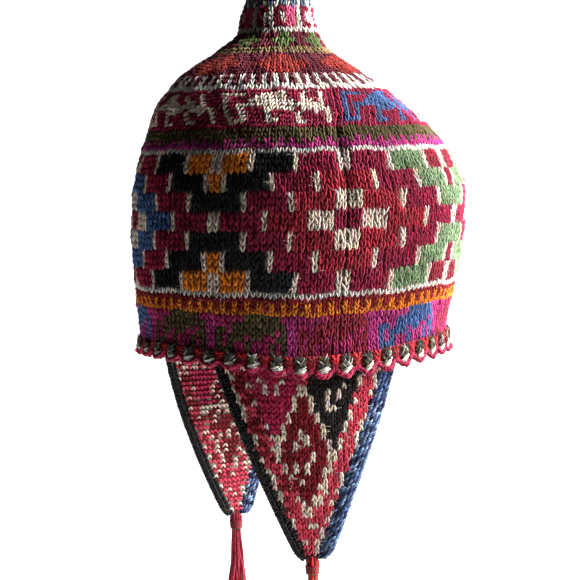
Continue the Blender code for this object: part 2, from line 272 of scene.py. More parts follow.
def woolFibreGroup():
    group = bpy.data.node_groups.new("woolFibre", "ShaderNodeTree")
    face = group.interface
    face.new_socket("Yarn", in_out="INPUT", socket_type="NodeSocketColor")
    for name, value in (("Heather", 0.35), ("Flecks", 0.12), ("Ply", 0.6), ("Fibre Size", 1.0)):
        face.new_socket(name, in_out="INPUT", socket_type="NodeSocketFloat").default_value = value
    face.new_socket("Colour", in_out="OUTPUT", socket_type="NodeSocketColor")
    face.new_socket("Height", in_out="OUTPUT", socket_type="NodeSocketFloat")
    start = addNode(group, "NodeGroupInput", -1400, 0).outputs
    end = addNode(group, "NodeGroupOutput", 900, 0)
    place = addNode(group, "ShaderNodeTexCoord", -1400, -300).outputs["Object"]

    def maths(operation, x, y, *values):
        node = addNode(group, "ShaderNodeMath", x, y, dict(enumerate(values)), operation=operation)
        return node.outputs[0]

    def noise(scale, detail, y):
        size = maths("MULTIPLY", -1150, y, start["Fibre Size"], scale)
        inputs = {"Detail": detail, "Roughness": 0.6, "Scale": size, "Vector": place}
        return addNode(group, "ShaderNodeTexNoise", -950, y, inputs).outputs["Fac"]

    def mapped(x, y, value, ends, low, high):
        inputs = {"Value": value, ends + " Min": low, ends + " Max": high}
        return addNode(group, "ShaderNodeMapRange", x, y, inputs).outputs[0]

    def mixed(x, y, factor, first, second, blend="MIX"):
        inputs = {"Factor": factor, "A": first, "B": second}
        node = addNode(group, "ShaderNodeMix", x, y, inputs, data_type="RGBA", blend_type=blend)
        return node.outputs["Result"]

    patches = noise(70.0, 2.0, -100)
    fibres = noise(1500.0, 3.0, -400)
    sheenFlecks = noise(2600.0, 1.0, -700)

    mottle = maths("ADD", -650, -150, patches, fibres)
    swing = maths("SUBTRACT", -450, -150, mottle, 1.0)
    strength = maths("MULTIPLY_ADD", -250, -150, swing, start["Heather"], 0.5)
    shade = mapped(-50, -150, strength, "To", 0.25, 1.75)
    tinted = mixed(150, 50, 1.0, start["Yarn"], shade, "MULTIPLY")

    # pale flecks: painted highlights of fibre sheen, scattered at random through the yarn like heather
    sheenFleckMask = mapped(-650, -650, sheenFlecks, "From", 0.60, 0.72)
    sheenFleckShare = maths("MULTIPLY", -400, -650, sheenFleckMask, start["Flecks"])
    sheenPaler = mixed(150, -250, 0.45, start["Yarn"], (0.62, 0.48, 0.50, 1.0))
    sheenFlecked = mixed(400, 0, sheenFleckShare, tinted, sheenPaler)

    # two plies twisted round each other, read from each strand's own round and length
    ply = addNode(group, "ShaderNodeAttribute", -1400, -1000, attribute_name="ply")
    parts = addNode(group, "ShaderNodeSeparateXYZ", -1200, -1000, {0: ply.outputs["Vector"]}).outputs
    around = maths("ARCTAN2", -1000, -1000, parts["Y"], parts["X"])
    twist = maths("MULTIPLY_ADD", -800, -1000, parts["Z"], 2.2, around)
    groove = maths("SINE", -600, -1000, twist)
    raised = maths("ABSOLUTE", -400, -1000, groove)
    plied = maths("MULTIPLY", -200, -1000, raised, start["Ply"])
    feed(group, end, {"Colour": sheenFlecked, "Height": maths("ADD", 400, -700, plied, fibres)})
    return group


woolFibre = woolFibreGroup()


def woolMaterial(name, heather=0.35, sheenFlecks=0.12, ply=0.6, bump=0.00022, sheen=0.08):
    material = bpy.data.materials.new(name)
    material.use_nodes = True
    tree = material.node_tree
    yarn = addNode(tree, "ShaderNodeAttribute", -700, 200, attribute_name="yarn").outputs["Color"]
    fibre = addNode(tree, "ShaderNodeGroup", -450, 200,
                    {"Yarn": yarn, "Heather": heather, "Flecks": sheenFlecks, "Ply": ply},
                    node_tree=woolFibre).outputs
    relief = addNode(tree, "ShaderNodeBump", -200, -100,
                     {"Distance": bump, "Strength": 0.9, "Height": fibre["Height"]})
    feed(tree, tree.nodes["Principled BSDF"], {
        "Roughness": 0.88, "Specular IOR Level": 0.12, "Sheen Weight": sheen, "Sheen Roughness": 0.55,
        "Base Color": fibre["Colour"], "Normal": relief.outputs["Normal"],
    })
    return material


# Strands: one bmesh tube with rounded ends, laid many times along paths


def strandTemplate(rings, sides):
    mesh = bmesh.new()
    bmesh.ops.create_circle(mesh, cap_ends=False, segments=sides, radius=1.0)
    edges = list(mesh.edges)
    for _ in range(rings - 1):
        grown = bmesh.ops.extrude_edge_only(mesh, edges=edges)["geom"]
        fresh = {item for item in grown if isinstance(item, bmesh.types.BMVert)}
        bmesh.ops.translate(mesh, verts=list(fresh), vec=(0.0, 0.0, 1.0))
        edges = [item for item in grown if isinstance(item, bmesh.types.BMEdge)
                 and item.verts[0] in fresh and item.verts[1] in fresh]
    caps = bmesh.ops.holes_fill(mesh, edges=[edge for edge in mesh.edges if edge.is_boundary])["faces"]
    for pole in bmesh.ops.poke(mesh, faces=caps)["verts"]:
        pole.co.z += 1.0 if pole.co.z > (rings - 1) / 2 else -1.0
    bmesh.ops.translate(mesh, verts=mesh.verts, vec=(0.0, 0.0, 1.0))
    bmesh.ops.recalc_face_normals(mesh, faces=mesh.faces)
    mesh.verts.index_update()
    spots = np.array([vertex.co[:] for vertex in mesh.verts])
    corners = [[vertex.index for vertex in face.verts] for face in mesh.faces]
    mesh.free()
    return spots, np.array([len(face) for face in corners]), np.concatenate(corners)


def layStrands(paths, radii, outward, colours, sides=4):
    # paths are (strand, point, 3), and the first and last point of each are its closed ends
    paths = np.asarray(paths)
    count, points = paths.shape[:2]
    spots, totals, corners = strandTemplate(points - 2, sides)
    ring = np.rint(spots[:, 2]).astype(int)
    along = unit(np.gradient(paths, axis=1))
    aside = unit(np.cross(along, np.broadcast_to(outward[:, None, :], paths.shape)))
    over = np.cross(aside, along)
    width = np.broadcast_to(radii, (count, points))[:, ring, None]
    places = paths[:, ring] + width * (spots[:, 0, None] * aside[:, ring]
                                       + spots[:, 1, None] * over[:, ring])
    ply = np.broadcast_to(spots, places.shape).copy()
    ply[..., 2] += rng.uniform(0.0, 6.0, count)[:, None]
    return {
        "places": places.reshape(-1, 3),
        "ply": ply.reshape(-1, 3),
        "colours": np.repeat(colours, len(spots), axis=0),
        "totals": np.tile(totals, count),
        "corners": (corners[None, :] + np.arange(count)[:, None] * len(spots)).ravel(),
    }


def finishPiece(piece, material, slot, *nodes):
    bpy.context.scene.collection.objects.link(piece)
    piece.data.materials.append(material)
    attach(piece, "root")
    if nodes:
        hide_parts(*nodes)
    return piece


def strandPiece(name, batches, material, slot, *nodes):
    mesh = bpy.data.meshes.new(name)
    shift = np.cumsum([0] + [len(batch["places"]) for batch in batches])
    corners = np.concatenate([batch["corners"] + move for batch, move in zip(batches, shift)])
    totals = np.concatenate([batch["totals"] for batch in batches])
    mesh.vertices.add(shift[-1])
    mesh.vertices.foreach_set("co", np.concatenate([b["places"] for b in batches]).ravel())
    mesh.loops.add(len(corners))
    mesh.loops.foreach_set("vertex_index", corners.astype(np.int32))
    mesh.polygons.add(len(totals))
    mesh.polygons.foreach_set("loop_start", np.concatenate([[0], np.cumsum(totals)[:-1]]).astype(np.int32))
    mesh.polygons.foreach_set("use_smooth", np.ones(len(totals), dtype=bool))
    colours = np.concatenate([batch["colours"] for batch in batches])
    yarn = mesh.attributes.new("yarn", "FLOAT_COLOR", "POINT")
    yarn.data.foreach_set("color", np.hstack([colours, np.ones((len(colours), 1))]).ravel())
    ply = mesh.attributes.new("ply", "FLOAT_VECTOR", "POINT")
    ply.data.foreach_set("vector", np.concatenate([batch["ply"] for batch in batches]).ravel())
    mesh.update(calc_edges=True)
    mesh.validate()
    return finishPiece(bpy.data.objects.new(name, mesh), material, slot, *nodes)


def clothPiece(name, mesh, spots, colourAt, material, slot, thick, *nodes, offset=0.0, closedAbove=None):
    # a bmesh sheet moved to its place, coloured face by face, and given its thickness
    layer = mesh.loops.layers.float_color.new("yarn")
    for face in mesh.faces:
        colour = colourAt(face.calc_center_median())
        for corner in face.loops:
            corner[layer] = (*colour, 1.0)
    for vertex, place in zip(mesh.verts, spots(np.array([vertex.co[:] for vertex in mesh.verts]))):
        vertex.co = place
    bmesh.ops.remove_doubles(mesh, verts=mesh.verts, dist=0.00002)
    if closedAbove is not None:
        bmesh.ops.holes_fill(mesh, edges=[edge for edge in mesh.edges if edge.is_boundary
                                          and edge.verts[0].co.z > closedAbove])
    bmesh.ops.recalc_face_normals(mesh, faces=mesh.faces)
    data = bpy.data.meshes.new(name)
    mesh.to_mesh(data)
    mesh.free()
    data.shade_smooth()
    piece = bpy.data.objects.new(name, data)
    wall = piece.modifiers.new("cloth wall", "SOLIDIFY")
    wall.thickness = thick
    wall.offset = offset
    return finishPiece(piece, material, slot, *nodes)


# Charts of the crown's knitting, drawn one by one. Rows are written from the top down.

halfRepeat = {
    # the diamond runs out from its middle, then the ground, then the hourglass to its middle
    "outer": "WCCCCCCWKKKKKKWOOOOW",
    "shoulder": "RRRRWCCCCCCWKKKKKKWO",
    "waist": "WWRRRRRRWCCCCCCWKKKK",
    "middle": "CCWWWWRRRRRRWCCCCCCW",
}
mainBlocks = ["outer", "shoulder", "waist", "middle", "waist", "shoulder", "outer"]
diamondYarns = ["red", "denim"]
hourglassYarns = [("sage", "darkRed"), ("black", "orange")]
rowsPerBlock = 3

smallAnimal = [
    ".....xxxxxx.",
    "...xxxxxxxxx",
    "xx.xxxxxxx.x",
    "x.xxx.xx..xx",
    "x.x..x...x.x",
    "xxx..x...x.x",
]
tallAnimal = [
    "...................",
    "xxxx..xxxx..x..x...",
    "x....xxxxx..x..x...",
    "x...xxxxxxx.xx.x...",
    "x.xxxxxxxxxxxxxx...",
    "x.x...xxxxx.xxxxx..",
    "x.x...x....x..x.x..",
    "x.x...x....x....x..",
    "xxx...xx...xx...x..",
    "...................",
]
steppedDiamond = [
    "....xxxx....",
    "...xxxxxx...",
    "..xxxxxxxx..",
    ".xxxxxxxxxx.",
    "..xxxxxxxx..",
    "...xxxxxx...",
    "....xxxx....",
]


def repeatChart(chart, yarns):
    return [lambda count, row=row: [yarns[row[i % len(row)]] for i in range(count)]
            for row in reversed(chart)]


def plainRows(*lines):
    # each line names the yarns that take turns in one row, from the bottom row up
    return [lambda count, yarns=line.split(): [yarns[i % len(yarns)] for i in range(count)]
            for line in lines]


def animalRows(chart, grounds, divider, animals, shift):
    # each cell holds one animal in its own yarn, with a stripe of two stitches between
    rows = []
    for row in reversed(chart):
        def knit(count, row=row):
            cell = len(row) + (2 if divider else 0)
            names = []
            for i in range(count):
                number, spot = divmod((i + shift) % count, cell)
                if spot >= len(row):
                    names.append(divider)
                else:
                    animal = animals[number % len(animals)]
                    names.append(animal if row[spot] == "x" else grounds.get(animal, grounds["rest"]))
            return names
        rows.append(knit)
    return rows


def mainRows():
    rows = []
    for block in reversed(mainBlocks):
        for _ in range(rowsPerBlock):
            def knit(count, line=halfRepeat[block]):
                names = []
                for i in range(count):
                    half, spot = divmod(i, len(line))
                    letter = line[spot] if half % 2 == 0 else line[-1 - spot]
                    glass = hourglassYarns[(half // 2) % 2]
                    names.append({"W": "cream", "C": "crimson", "K": glass[0], "O": glass[1],
                                  "R": diamondYarns[((half + 1) // 2) % 2]}[letter])
                return names
            rows.append(knit)
    return rows


# Each band: stitches in a round, the level of its top, and its rows from the bottom up. A fan sets
# how much wider than even the near stitches are, at its first and last row, so that columns stay upright
lowerGrounds = {"rest": "plum", "denim": "orchid"}
lowerAnimals = ["darkRed", "denim", "darkRed", "denim", "olive", "olive"]
upperAnimals = ["denim", "cream", "cream", "cream", "denim", "cream", "cream"]
crownBands = [
    {"stitches": 168, "top": 0.0324,
     "rows": animalRows(smallAnimal, lowerGrounds, "magenta", lowerAnimals, 7)},
    {"stitches": 168, "top": 0.0346, "rows": plainRows("orange"), "thin": 0.72},
    {"stitches": 168, "top": 0.0415,
     "rows": plainRows("orange flapRed", "orange flapRed", "flapRed"), "thin": 0.86},
    {"stitches": 168, "top": 0.0444, "rows": plainRows("white"), "thin": 0.62},
    {"stitches": 160, "top": 0.1215, "rows": mainRows()},
    {"stitches": 160, "top": 0.1243, "rows": plainRows("white"), "thin": 0.62},
    {"stitches": 148, "top": 0.1357, "rows": plainRows("magenta", "magenta olive", "olive", "olive")},
    {"stitches": 133, "fan": (-0.11, 0.20), "top": 0.1578,
     "rows": animalRows(tallAnimal, {"rest": "crimson"}, None, upperAnimals, -1), "thin": 1.0},
    {"stitches": 112, "top": 0.1670, "rows": plainRows("white", "white maroon", "white maroon")},
    {"stitches": 84, "top": 0.1780, "rows": repeatChart(steppedDiamond, {"x": "rust", ".": "maroon"})},
    {"stitches": 60, "top": 0.1835, "rows": plainRows("maroon", "beige", "beige")},
    {"stitches": 48, "top": 0.1930,
     "rows": repeatChart(["..xx..", ".xxxx.", "..xx.."], {"x": "green", ".": "maroon"})},
    {"stitches": 44, "top": 0.1962, "rows": plainRows("white")},
    {"stitches": 40, "top": 0.2085,
     "rows": repeatChart(["w..w..pp", "w.ww.wpp", "w.ww.wpp", "w..w..pp"],
                         {"w": "white", ".": "crimson", "p": "pink"})},
    {"stitches": 36, "top": 0.2200,
     "rows": repeatChart(["s.s.", ".s.s", "wsws"], {"s": "slate", ".": "grey", "w": "white"})},
    {"stitches": 36, "top": 0.2232, "rows": plainRows("white")},
    {"stitches": 32, "top": 0.2345,
     "rows": repeatChart(["x.", "x.", ".."], {"x": "orange", ".": "crimson"})},
    {"stitches": 28, "top": 0.2460,
     "rows": repeatChart([".x", "xx", "x."], {"x": "magenta", ".": "olive"})},
    {"stitches": 20, "top": 0.2570, "rows": plainRows("crimson", "crimson", "wine")},
    {"stitches": 12, "top": 0.2612, "rows": plainRows("crimson", "crimson")},
]


thinYarns = {"cream": 0.84, "white": 0.78}


def knitRows():
    rows = []
    foot = 0.0
    for band in crownBands:
        top = np.interp(band["top"], sideLevels, sideWalk)
        tall = (top - foot) / len(band["rows"])
        fans = np.linspace(*band.get("fan", (0.0, 0.0)), len(band["rows"]))
        for number, knit in enumerate(band["rows"]):
            names = knit(band["stitches"])
            rows.append({
                "stitches": band["stitches"], "foot": foot + number * tall, "tall": tall,
                "fan": fans[number], "colours": yarnColours(names),
                "thin": [band.get("thin", thinYarns.get(name, 1.0)) for name in names],
            })
        foot = top
    return rows


def fanTurn(turn, fan, undo=False):
    # where a stitch of an even round lies in one that is wider near its start, or the way back
    even = np.array([-0.5, -0.2, 0.2, 0.5])
    fanned = even * np.array([1.0, 1.0 + fan, 1.0 + fan, 1.0])
    signed = signedShare(np.asarray(turn))
    return np.interp(signed, fanned, even) if undo else np.interp(signed, even, fanned)


def yarnAt(row, turn):
    # the colour of the stitch that lies at a turn of the crown
    number = int(fanTurn(turn, row["fan"], undo=True) * row["stitches"] // 1)
    return row["colours"][number % row["stitches"]]


crownRows = knitRows()

# One knitted stitch: two legs, each a short strand that leans out from the foot to the head

stitch = {
    "across": [0.03, 0.10, 0.24, 0.34, 0.32],             # shares of a stitch's width
    "up": [-0.28, -0.03, 0.46, 0.95, 1.24],               # shares of a row
    "out": [-0.6, 0.35, 0.75, 0.05, -1.0],                # shares of the yarn's thickness
    "thick": [0.12, 0.88, 1.00, 0.86, 0.10],
    "yarn": 0.00066,                                      # half the yarn's thickness
    "uneven": 0.085,
    "unevenOut": 0.00010,
    "shades": 0.13,                                       # how much the legs differ in brightness
    "tints": 0.06,                                        # and in each channel of their colour
}


def stitchStrands(turns, foots, widths, talls, colours, spot, thin=1.0):
    # turns and foots are where each stitch's foot is, in the units that spot reads
    count = len(turns)
    side = np.array([-1.0, 1.0])
    across = np.array(stitch["across"])[None, None, :] * side[None, :, None]
    across = across + rng.normal(0.0, stitch["uneven"] * 0.5, (count, 2, 1))
    lean = rng.normal(0.0, stitch["uneven"], (count, 1, 1)) * np.array(stitch["up"])
    up = np.array(stitch["up"])[None, None, :] + rng.normal(0.0, stitch["uneven"], (count, 2, 1))
    size = 1.0 + rng.normal(0.0, stitch["uneven"] * 1.4, (count, 2, 1))
    size = size * np.reshape(thin, (-1, 1, 1))
    u = turns[:, None, None] + (across + lean) * widths[:, None, None]
    v = foots[:, None, None] + up * talls[:, None, None]
    out = np.array(stitch["out"])[None, None, :] * stitch["yarn"] * size
    out = out + rng.normal(0.0, stitch["unevenOut"], (count, 2, 1))
    places, normals = spot(u, v, out)
    radii = np.array(stitch["thick"])[None, None, :] * stitch["yarn"] * size
    points = len(stitch["across"])
    shade = 1.0 + rng.normal(0.0, stitch["shades"], (count, 2, 1))
    shade = shade + rng.normal(0.0, stitch["tints"], (count, 2, 3))
    tint = np.clip(colours[:, None, :] * shade, 0.0, 1.0).reshape(-1, 3)
    return layStrands(places.reshape(-1, points, 3), radii.reshape(-1, points),
                      normals[:, :, points // 2].reshape(-1, 3), tint)


def crownStitches(rows):
    turns, foots, widths, talls, colours, thin = [], [], [], [], [], []
    for row in rows:
        number = row["stitches"]
        turn = fanTurn((np.arange(number) + 0.5) / number, row["fan"])
        turns.append(turn)
        foots.append(np.full(number, row["foot"]))
        near = np.abs(turn) < 0.2 * (1.0 + row["fan"])
        widths.append(np.where(near, 1.0 + row["fan"], 1.0 - row["fan"] * 2 / 3) / number)
        talls.append(np.full(number, row["tall"]))
        colours.append(row["colours"])
        thin.append(row["thin"])
    return stitchStrands(np.concatenate(turns), np.concatenate(foots), np.concatenate(widths),
                         np.concatenate(talls), np.concatenate(colours), crownSpot, np.concatenate(thin))


knitWool = woolMaterial("knit wool")
crownParts = [("crown_stitches_foot", 0, 11), ("crown_stitches_lower", 11, 22),
              ("crown_stitches_upper", 22, 33), ("crown_stitches_shoulder", 33, 50),
              ("crown_stitches_peak", 50, len(crownRows))]
for name, first, last in crownParts:
    strandPiece(name, [crownStitches(crownRows[first:last])], knitWool, "crown_knit", "crown")
print("crown stitches", sum(row["stitches"] for row in crownRows), "in", len(crownRows), "rows")

# The cloth behind the stitches, with its floats on the inside

cloth = {
    "behind": 0.0006,         # how far it lies inside the crown's outside
    "thick": 0.0016,
    "columns": 168,
    "darker": 0.50,
    "paleDarker": 0.6,        # and how much more for pale yarns
    "crease": 0.003,          # the strip where the rounds start, painted darker as shade in the crease, as a share of a round
    "paintedCreaseShade": 0.45,
    "foot": -0.0022,          # how far it reaches down behind the rim edging
}


def clothColour(yarn):
    # it lies in the shade of the stitches, pale yarns most of all
    return yarn * cloth["darker"] * (1.0 - cloth["paleDarker"] * np.max(yarn))


clothWool = woolMaterial("cloth inside", heather=0.5, sheenFlecks=0.05, ply=0.0, bump=0.0004)


def crownCloth():
    rows = len(crownRows)
    feet = np.array([cloth["foot"]] + [row["foot"] for row in crownRows[1:]] + [sideWalk[-1] - 0.0004])
    mesh = bmesh.new()
    bmesh.ops.create_grid(mesh, x_segments=cloth["columns"], y_segments=rows, size=0.5)

    def colourAt(middle):
        row = crownRows[min(rows - 1, int((middle.y + 0.5) * rows))]
        turn = middle.x + 0.5
        colour = clothColour(yarnAt(row, turn))
        # painted shade: the cloth is darker in the crease where the rounds start
        return colour * cloth["paintedCreaseShade"] if min(turn, 1.0 - turn) < cloth["crease"] else colour

    def spots(flat):
        walk = np.interp(flat[:, 1] + 0.5, np.linspace(0, 1, rows + 1), feet)
        return crownSpot(flat[:, 0] + 0.5, walk, -cloth["behind"])[0]

    clothPiece("crown_cloth", mesh, spots, colourAt, clothWool, "crown_knit", cloth["thick"], "crown",
               offset=-1.0, closedAbove=crown["height"] * 0.9)


crownCloth()
print("crown cloth")

# Rim edging: a band of knitting, and on it puffs of loose yarn with twisted columns between

puff = {
    "greyWide": 0.0054,
    "whiteWide": 0.0064,
    "top": 1.00,              # shares of the edging's height
    "split": 0.42,            # where grey gives way to white
    "foot": 0.10,
    "slant": 0.16,
    "greys": 15,
    "whites": 8,
    "yarn": 0.00046,
    "stands": 0.0030,         # how far a puff stands out
    "loose": 2.2,
    "along": [-0.9, -1.0, -0.5, 0.5, 1.0, 0.9],                  # shares of half the width
    "rise": [-1.0, -0.85, -0.4, 0.4, 0.85, 1.0],                 # shares of the slant
    "out": [0.10, 0.55, 1.0, 1.0, 0.55, 0.10],                   # shares of how far it stands out
}
column = {
    "yarn": 0.00078,
    "levels": (0.92, 0.74, 0.56, 0.38),
    "layers": ((1.0, 0.0), (1.9, 0.0006)),                       # how wide, and how far in
    "along": [0.0017, 0.0018, 0.0013, 0.0005, -0.0002, -0.0004],
    "rise": [0.14, 0.11, 0.04, -0.05, -0.12, -0.15],
    "out": [0.1, 0.9, 1.5, 1.6, 1.1, 0.2],                       # millimetres
}
scallop = {
    "yarn": 0.00092,
    "low": 0.03,
    "high": 0.40,
    "turns": 12,
    "climb": 0.09,
    "wide": 0.00105,
    "thick": 0.0010,
    "sag": 0.0017,            # how much further out it hangs at its lowest
    "along": [-0.9, -0.75, -0.3, 0.3, 0.75, 0.9],
    "rise": [-0.09, -0.075, -0.03, 0.03, 0.075, 0.09],
    "out": [-0.3, 0.45, 1.0, 1.0, 0.45, -0.3],
}
# how unevenly the strands of the edging lie
rimStray = {
    "along": 0.00022,
    "out": 0.00018,
    "rise": 0.018,
    "tilt": 0.035,
    "shade": 0.16,
    "thick": 0.08,
}


def napeRiseAt(angle):
    share = np.clip((np.abs(turnBetween(angle, 0.0)) - rim["napeStart"]) / rim["napeTurn"], 0.0, 1.0)
    return rim["napeRise"] * share * share * (3.0 - 2.0 * share)


def rimSpot(number, along, rise, out):
    # number is the puff, along is metres to the right of its middle, rise is a share of the height
    number, along, rise, out = np.broadcast_arrays(number, along, rise, out)
    share = ((number + 0.5) / rim["puffs"] - along / roundWalk[-1]) % 1.0
    angle = np.interp(share, roundShares, roundAngles)
    crownFoot = wallPoint(angle, rim["height"])
    normal = wallPoint(angle, rim["height"], 1.0) - crownFoot
    foot = napeRiseAt(angle)
    place = crownFoot + normal * out[..., None]
    place[..., 2] = crownFoot[..., 2] - rim["height"] + foot + (rim["height"] - flap["gap"] - foot) * rise
    return place, normal


def rimStrands(numbers, along, rise, out, yarn, colours, loose=1.0):
    # the same strand for each of the puffs, but never quite alike
    count = len(numbers)
    shape = (count, len(rise))
    tilt = np.linspace(-rimStray["tilt"], rimStray["tilt"], len(rise))
    tilt = tilt * (loose - 1.0) * rng.normal(0.0, 1.0, (count, 1))
    along = np.broadcast_to(along, shape) + rng.normal(0.0, rimStray["along"] * loose, (count, 1))
    out = np.broadcast_to(out, shape) + rng.normal(0.0, rimStray["out"], (count, 1))
    rise = np.broadcast_to(rise, shape) + rng.normal(0.0, rimStray["rise"] * loose, (count, 1)) + tilt
    places, normals = rimSpot(numbers[:, None], along, rise, out)
    thick = np.full(len(rise[0]), 1.0)
    thick[[0, -1]] = 0.15
    shade = 1.0 + rng.normal(0.0, rimStray["shade"], (count, 1))
    return layStrands(places, thick * yarn * (1.0 + rng.normal(0.0, rimStray["thick"], (count, 1))),
                      normals[:, normals.shape[1] // 2], np.clip(colours * shade, 0.0, 1.0))


def makePuffs():
    # a tuft of slanting strands, grey over white
    numbers = np.arange(rim["puffs"])
    greys = yarnColours(["charcoal", "grey", "charcoal", "silver", "charcoal", "grey", "olive"])
    whites = yarnColours(["white", "cream", "white", "silver"])
    middle = (puff["top"] + puff["foot"]) / 2
    tall = (puff["top"] - puff["foot"]) / 2
    levels = np.concatenate([np.linspace(puff["top"] - 0.08, puff["split"], puff["greys"]),
                             np.linspace(puff["split"] - 0.02, puff["foot"] + 0.03, puff["whites"])])
    batches = []
    for i, level in enumerate(levels):
        grey = i < puff["greys"]
        bow = math.sqrt(max(0.10, 1.0 - ((level - middle) / tall) ** 2))
        half = puff["greyWide" if grey else "whiteWide"] / 2 * (0.40 + 0.60 * bow)
        if grey:
            # two short strands side by side, leaning either way
            half, shift, lean = half * 0.62, half * 0.40 * (1 if i % 2 else -1), 1.5 if i % 3 else -1.2
        else:
            shift, lean = 0.0, 1.0
        along = np.array(puff["along"]) * half + shift
        rise = level + np.array(puff["rise"]) * puff["slant"] * lean * (0.5 + 0.5 * bow)
        rounded = 1.0 - 0.35 * (shift / puff["greyWide"] * 4) ** 2
        out = np.array(puff["out"]) * puff["stands"] * (0.35 + 0.65 * bow) * rounded + 0.0004
        palette = greys if grey else whites
        colours = palette[rng.integers(0, len(palette), rim["puffs"])]
        batches.append(rimStrands(numbers, along, rise, out, puff["yarn"], colours, puff["loose"]))
    return batches


def makeColumns():
    # between two puffs, four stitches one above the other
    numbers = np.arange(rim["puffs"]) + 0.5
    reds = yarnColours(["brightRed", "red", "rust", "red", "darkRed"])
    batches = []
    for level in column["levels"]:
        for side in (-1, 1):
            for wide, back in column["layers"]:
                colours = reds[rng.integers(0, len(reds), rim["puffs"])]
                along = side * np.array(column["along"]) * wide
                rise = level + np.array(column["rise"])
                out = np.array(column["out"]) * 0.001 - back
                batches.append(rimStrands(numbers, along, rise, out, column["yarn"], colours))
    return batches


def makeScallops():
    # a twist of two yarns that hangs under each puff and climbs between it and the next
    pitch = roundWalk[-1] / rim["puffs"]
    numbers = np.arange(rim["puffs"])
    batches = []
    for i in range(scallop["turns"]):
        at = (i + 0.5) / scallop["turns"] - 0.5
        low = math.cos(math.pi * at) ** 2
        climb = math.sin(2 * math.pi * at) * scallop["climb"]
        middle = scallop["high"] + (scallop["low"] - scallop["high"]) * low ** 0.7
        names = ["crimson", "rose", "flapRed"] if i % 2 else ["rose", "crimson", "crimson"]
        for flip in (1.0, -1.0):
            # outside, then inside
            along = at * pitch + flip * np.array(scallop["along"]) * scallop["wide"]
            rise = middle + np.array(scallop["rise"]) + climb * np.linspace(-1, 1, 6)
            out = flip * np.array(scallop["out"]) * scallop["thick"]
            out = out + scallop["thick"] + scallop["sag"] * low
            colours = yarnColours(names)[rng.integers(0, 3, rim["puffs"])]
            batches.append(rimStrands(numbers, along, rise, out, scallop["yarn"], colours))
    return batches


def rimCloth():
    mesh = bmesh.new()
    bmesh.ops.create_grid(mesh, x_segments=rim["puffs"] * 4, y_segments=6, size=0.5)
    ground = linear("flapRed")

    def spots(flat):
        place, _ = rimSpot(flat[:, 0] * rim["puffs"], 0.0, 0.24 + 0.82 * (flat[:, 1] + 0.5), -0.0002)
        return place

    clothPiece("rim_cloth", mesh, spots, lambda middle: ground,
               woolMaterial("rim ground", ply=0.0, bump=0.0005), "rim_yarn", 0.0020, "rim_edging")


puffWool = woolMaterial("puff wool", heather=0.6, sheenFlecks=0.3, ply=0.8)
rimCloth()
strandPiece("rim_puffs", makePuffs(), puffWool, "rim_yarn", "rim_edging")
strandPiece("rim_columns", makeColumns() + makeScallops(), puffWool, "rim_yarn", "rim_edging")
print("rim edging")

# Ear flaps, knitted from the crown down, so that their stitches stand on their heads

flapKnit = {
    "stitch": 0.00328,
    "row": 0.00326,
    "behind": 0.0002,         # the cloth lies this far in from the middle of the flap's wall
    "cloth": 0.0014,
    "face": 0.0008,           # and the stitches this far out
    "purl": 0.0007,
}
# a bump of yarn on the wrong side: shares of a stitch, of a row, millimetres and shares of the yarn
purl = {
    "across": [-0.62, -0.50, -0.18, 0.18, 0.50, 0.62],
    "dip": [0.45, 0.30, -0.15, -0.15, 0.30, 0.45],
    "out": [0.2, -0.3, -0.8, -0.8, -0.3, 0.2],
    "thick": [0.1, 0.9, 1.0, 1.0, 0.9, 0.1],
    "uneven": 0.00016,
    "carried": 0.35,          # how often the yarn carried behind shows there instead
}
bothSides = ((1, "right"), (-1, "left"))
frontEdging = {"top": 0.0110, "tip": 0.0085}
backEdging = {"top": 0.0056, "tip": 0.0060}


def fieldHalfWidth(drop):
    share = drop / flap["length"]
    return (flap["topWidth"] + (flap["tipWidth"] - flap["topWidth"]) * share) / 2


def flapSpot(side, along, drop, out):
    # side 1 is the right ear's, along runs towards the face, drop is down from the crown's foot
    along, drop, out = np.broadcast_arrays(along, drop, out)
    share = np.clip(drop / flap["length"], 0.0, 1.0)
    along = along + flap["sweep"] * share ** 2
    inset = -(rim["inner"] + flap["gap"] + flap["edgingWall"] / 2)
    middle = wallPoint(flap["angle"], rim["height"], inset)
    beside = wallPoint(flap["angle"] - 1.0, rim["height"], inset)
    angle = flap["angle"] - along / np.hypot(*(beside - middle)[:2])
    curved = wallPoint(angle, rim["height"], inset)
    normal = wallPoint(angle, rim["height"], inset + 1.0) - curved
    flatNormal = wallPoint(flap["angle"], rim["height"], inset + 1.0) - middle
    tangent = unit((beside - middle) * np.array([1.0, 1.0, 0.0]))
    flat = middle + tangent * along[..., None]
    relax = flap["flatten"] * np.maximum(0.0, drop - rim["height"]) / (flap["length"] - rim["height"])
    place = curved + (flat - curved) * relax[..., None]
    outWay = unit(normal + (flatNormal - normal) * relax[..., None])
    place = place + outWay * out[..., None] - flatNormal * flap["lean"] * (share ** 1.5)[..., None]
    place[..., 2] = curved[..., 2] + (middle[2] - curved[..., 2]) * share - flap["gap"] - drop
    mirror = np.array([side, 1.0, 1.0])
    return place * mirror, outWay * mirror


# the chart, in centimetres from the flap's middle line and down from the crown
flapChart = {
    "diamond": [(-0.15, 1.5), (1.50, 5.8), (-0.15, 9.6), (-1.80, 5.5)],
    "smallDiamond": [(-0.24, 4.3), (0.32, 5.8), (-0.35, 7.5), (-0.85, 5.8)],
    "roseTicks": [[(-2.60, 1.2), (-2.15, 2.3)], [(-1.35, 1.3), (-1.75, 2.2)]],
    "brownTicks": [[(1.05, 1.8), (1.55, 3.3)], [(2.30, 1.5), (1.75, 2.6)]],
}


def lineAt(line, depth):
    # where a slanting line of the chart is at a depth, or far away above and below it
    (s0, d0), (s1, d1) = sorted(line, key=lambda end: end[1])
    return s0 + (s1 - s0) * (depth - d0) / (d1 - d0) if d0 <= depth <= d1 else 99.0


def diamondSides(corners):
    return [[corners[i], corners[(i + 1) % 4]] for i in range(4)]


